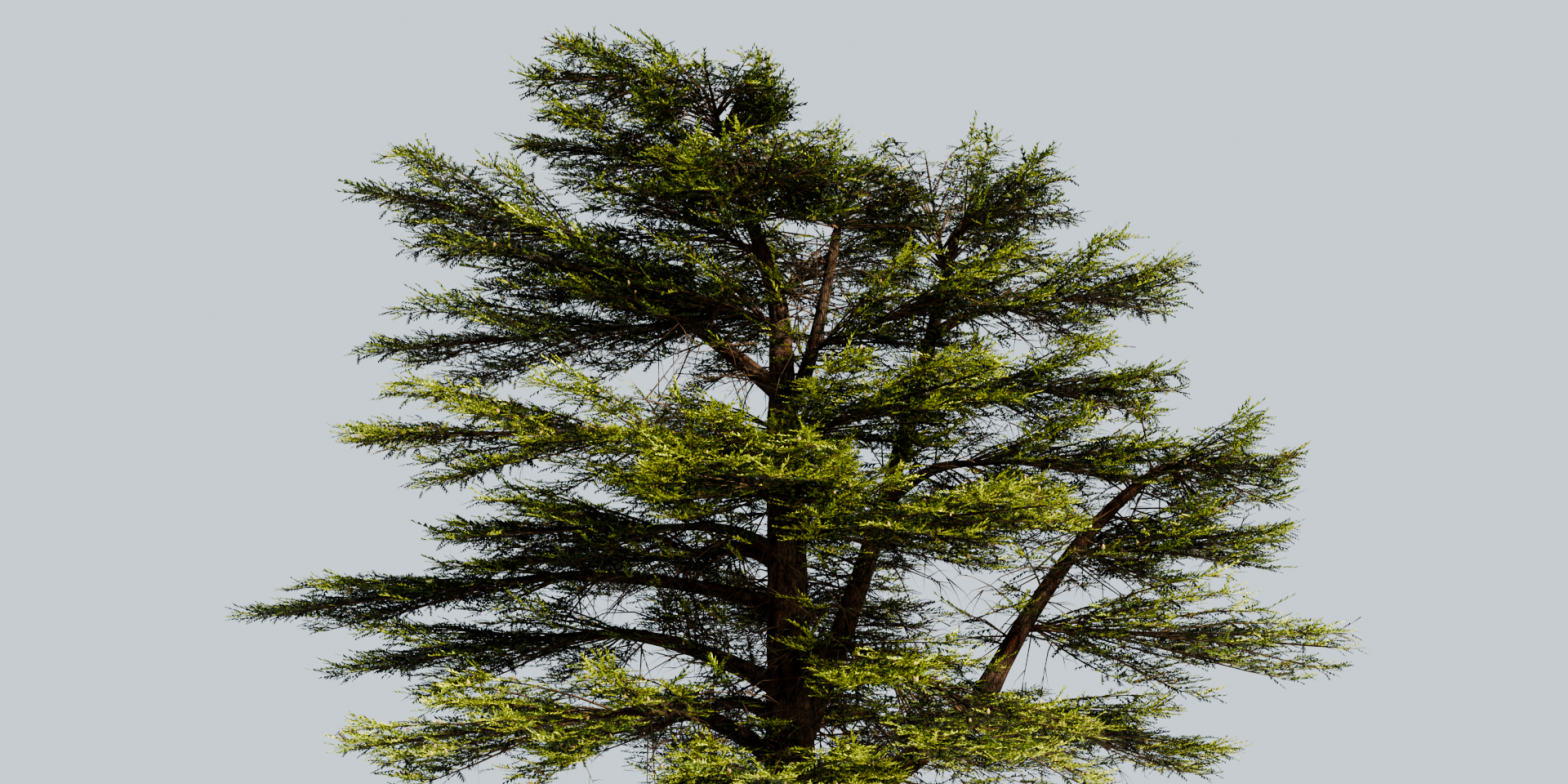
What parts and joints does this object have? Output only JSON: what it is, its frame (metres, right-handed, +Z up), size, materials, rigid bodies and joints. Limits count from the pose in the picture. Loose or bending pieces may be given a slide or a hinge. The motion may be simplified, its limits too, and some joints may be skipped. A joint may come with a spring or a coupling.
{
  "type": "cedar tree",
  "caption": "Old spreading cedar with a forked, leaning trunk, long level boughs and flat tiers of needle foliage, standing rooted in the ground.",
  "frame": {"origin": "centre of the flat cut under the trunk, at ground level", "axes": "+Z up along the trunk, +X to the right in the picture, +Y away from its viewer"},
  "size_m": [26.7568, 18.5169, 21.0727],
  "materials": {
    "bark": "matt, deeply ridged grey-brown bark, orange-brown where the sun lights it",
    "needles_fresh": "satin fresh green needles",
    "needles_mid": "satin mid green needles",
    "needles_deep": "satin deep green needles",
    "needles_sunlit": "satin yellow-green needles"
  },
  "bodies": {
    "root": {"trunk": "bark", "right_leader": "bark", "co_stem": "bark", "right_limb_low": "bark", "right_limb": "bark", "upper_left_limb": "bark", "right_high_limb": "bark", "right_mid_limb": "bark", "right_inner_limb": "bark", "left_front_limb": "bark", "left_lower_limb": "bark", "long_left_limb": "bark", "low_left_limb": "bark", "front_left_limb": "bark", "front_limb": "bark", "cascade_limb": "bark", "back_low_right_limb": "bark", "back_low_left_limb": "bark", "back_mid_limb": "bark", "back_left_limb": "bark", "foliage_top_left": "needles_fresh", "foliage_top_right": "needles_mid", "foliage_top_left_low": "needles_deep", "foliage_top_front": "needles_sunlit", "foliage_top_back": "needles_fresh", "foliage_upper_left": "needles_mid", "foliage_upper_left_under": "needles_deep", "foliage_left_mid": "needles_sunlit", "foliage_inner_upper": "needles_fresh", "foliage_front_upper": "needles_mid", "foliage_mid_top": "needles_deep", "foliage_leader_side": "needles_sunlit", "foliage_co_top": "needles_fresh", "foliage_co_left": "needles_mid", "foliage_right_high": "needles_deep", "foliage_right_mid": "needles_sunlit", "foliage_front_right_mid": "needles_fresh", "foliage_right_inner": "needles_mid", "foliage_right_far": "needles_deep", "foliage_right_droop": "needles_sunlit", "foliage_right_side": "needles_fresh", "foliage_right_hang": "needles_mid", "foliage_left_front": "needles_deep", "foliage_left_front_inner": "needles_sunlit", "foliage_left_lower": "needles_fresh", "foliage_long_left": "needles_mid", "foliage_low_left": "needles_deep", "foliage_front_left": "needles_sunlit", "foliage_front_high": "needles_fresh", "foliage_front_sweep": "needles_mid", "foliage_front_cascade": "needles_deep", "foliage_front_low": "needles_sunlit", "foliage_back_low_right": "needles_fresh", "foliage_back_low_left": "needles_mid", "foliage_back_mid": "needles_deep", "foliage_back_left": "needles_sunlit", "foliage_back_high_right": "needles_fresh", "foliage_back_high": "needles_mid", "foliage_back_upper": "needles_deep", "foliage_back_upper_left": "needles_sunlit"}
  },
  "joints": []
}
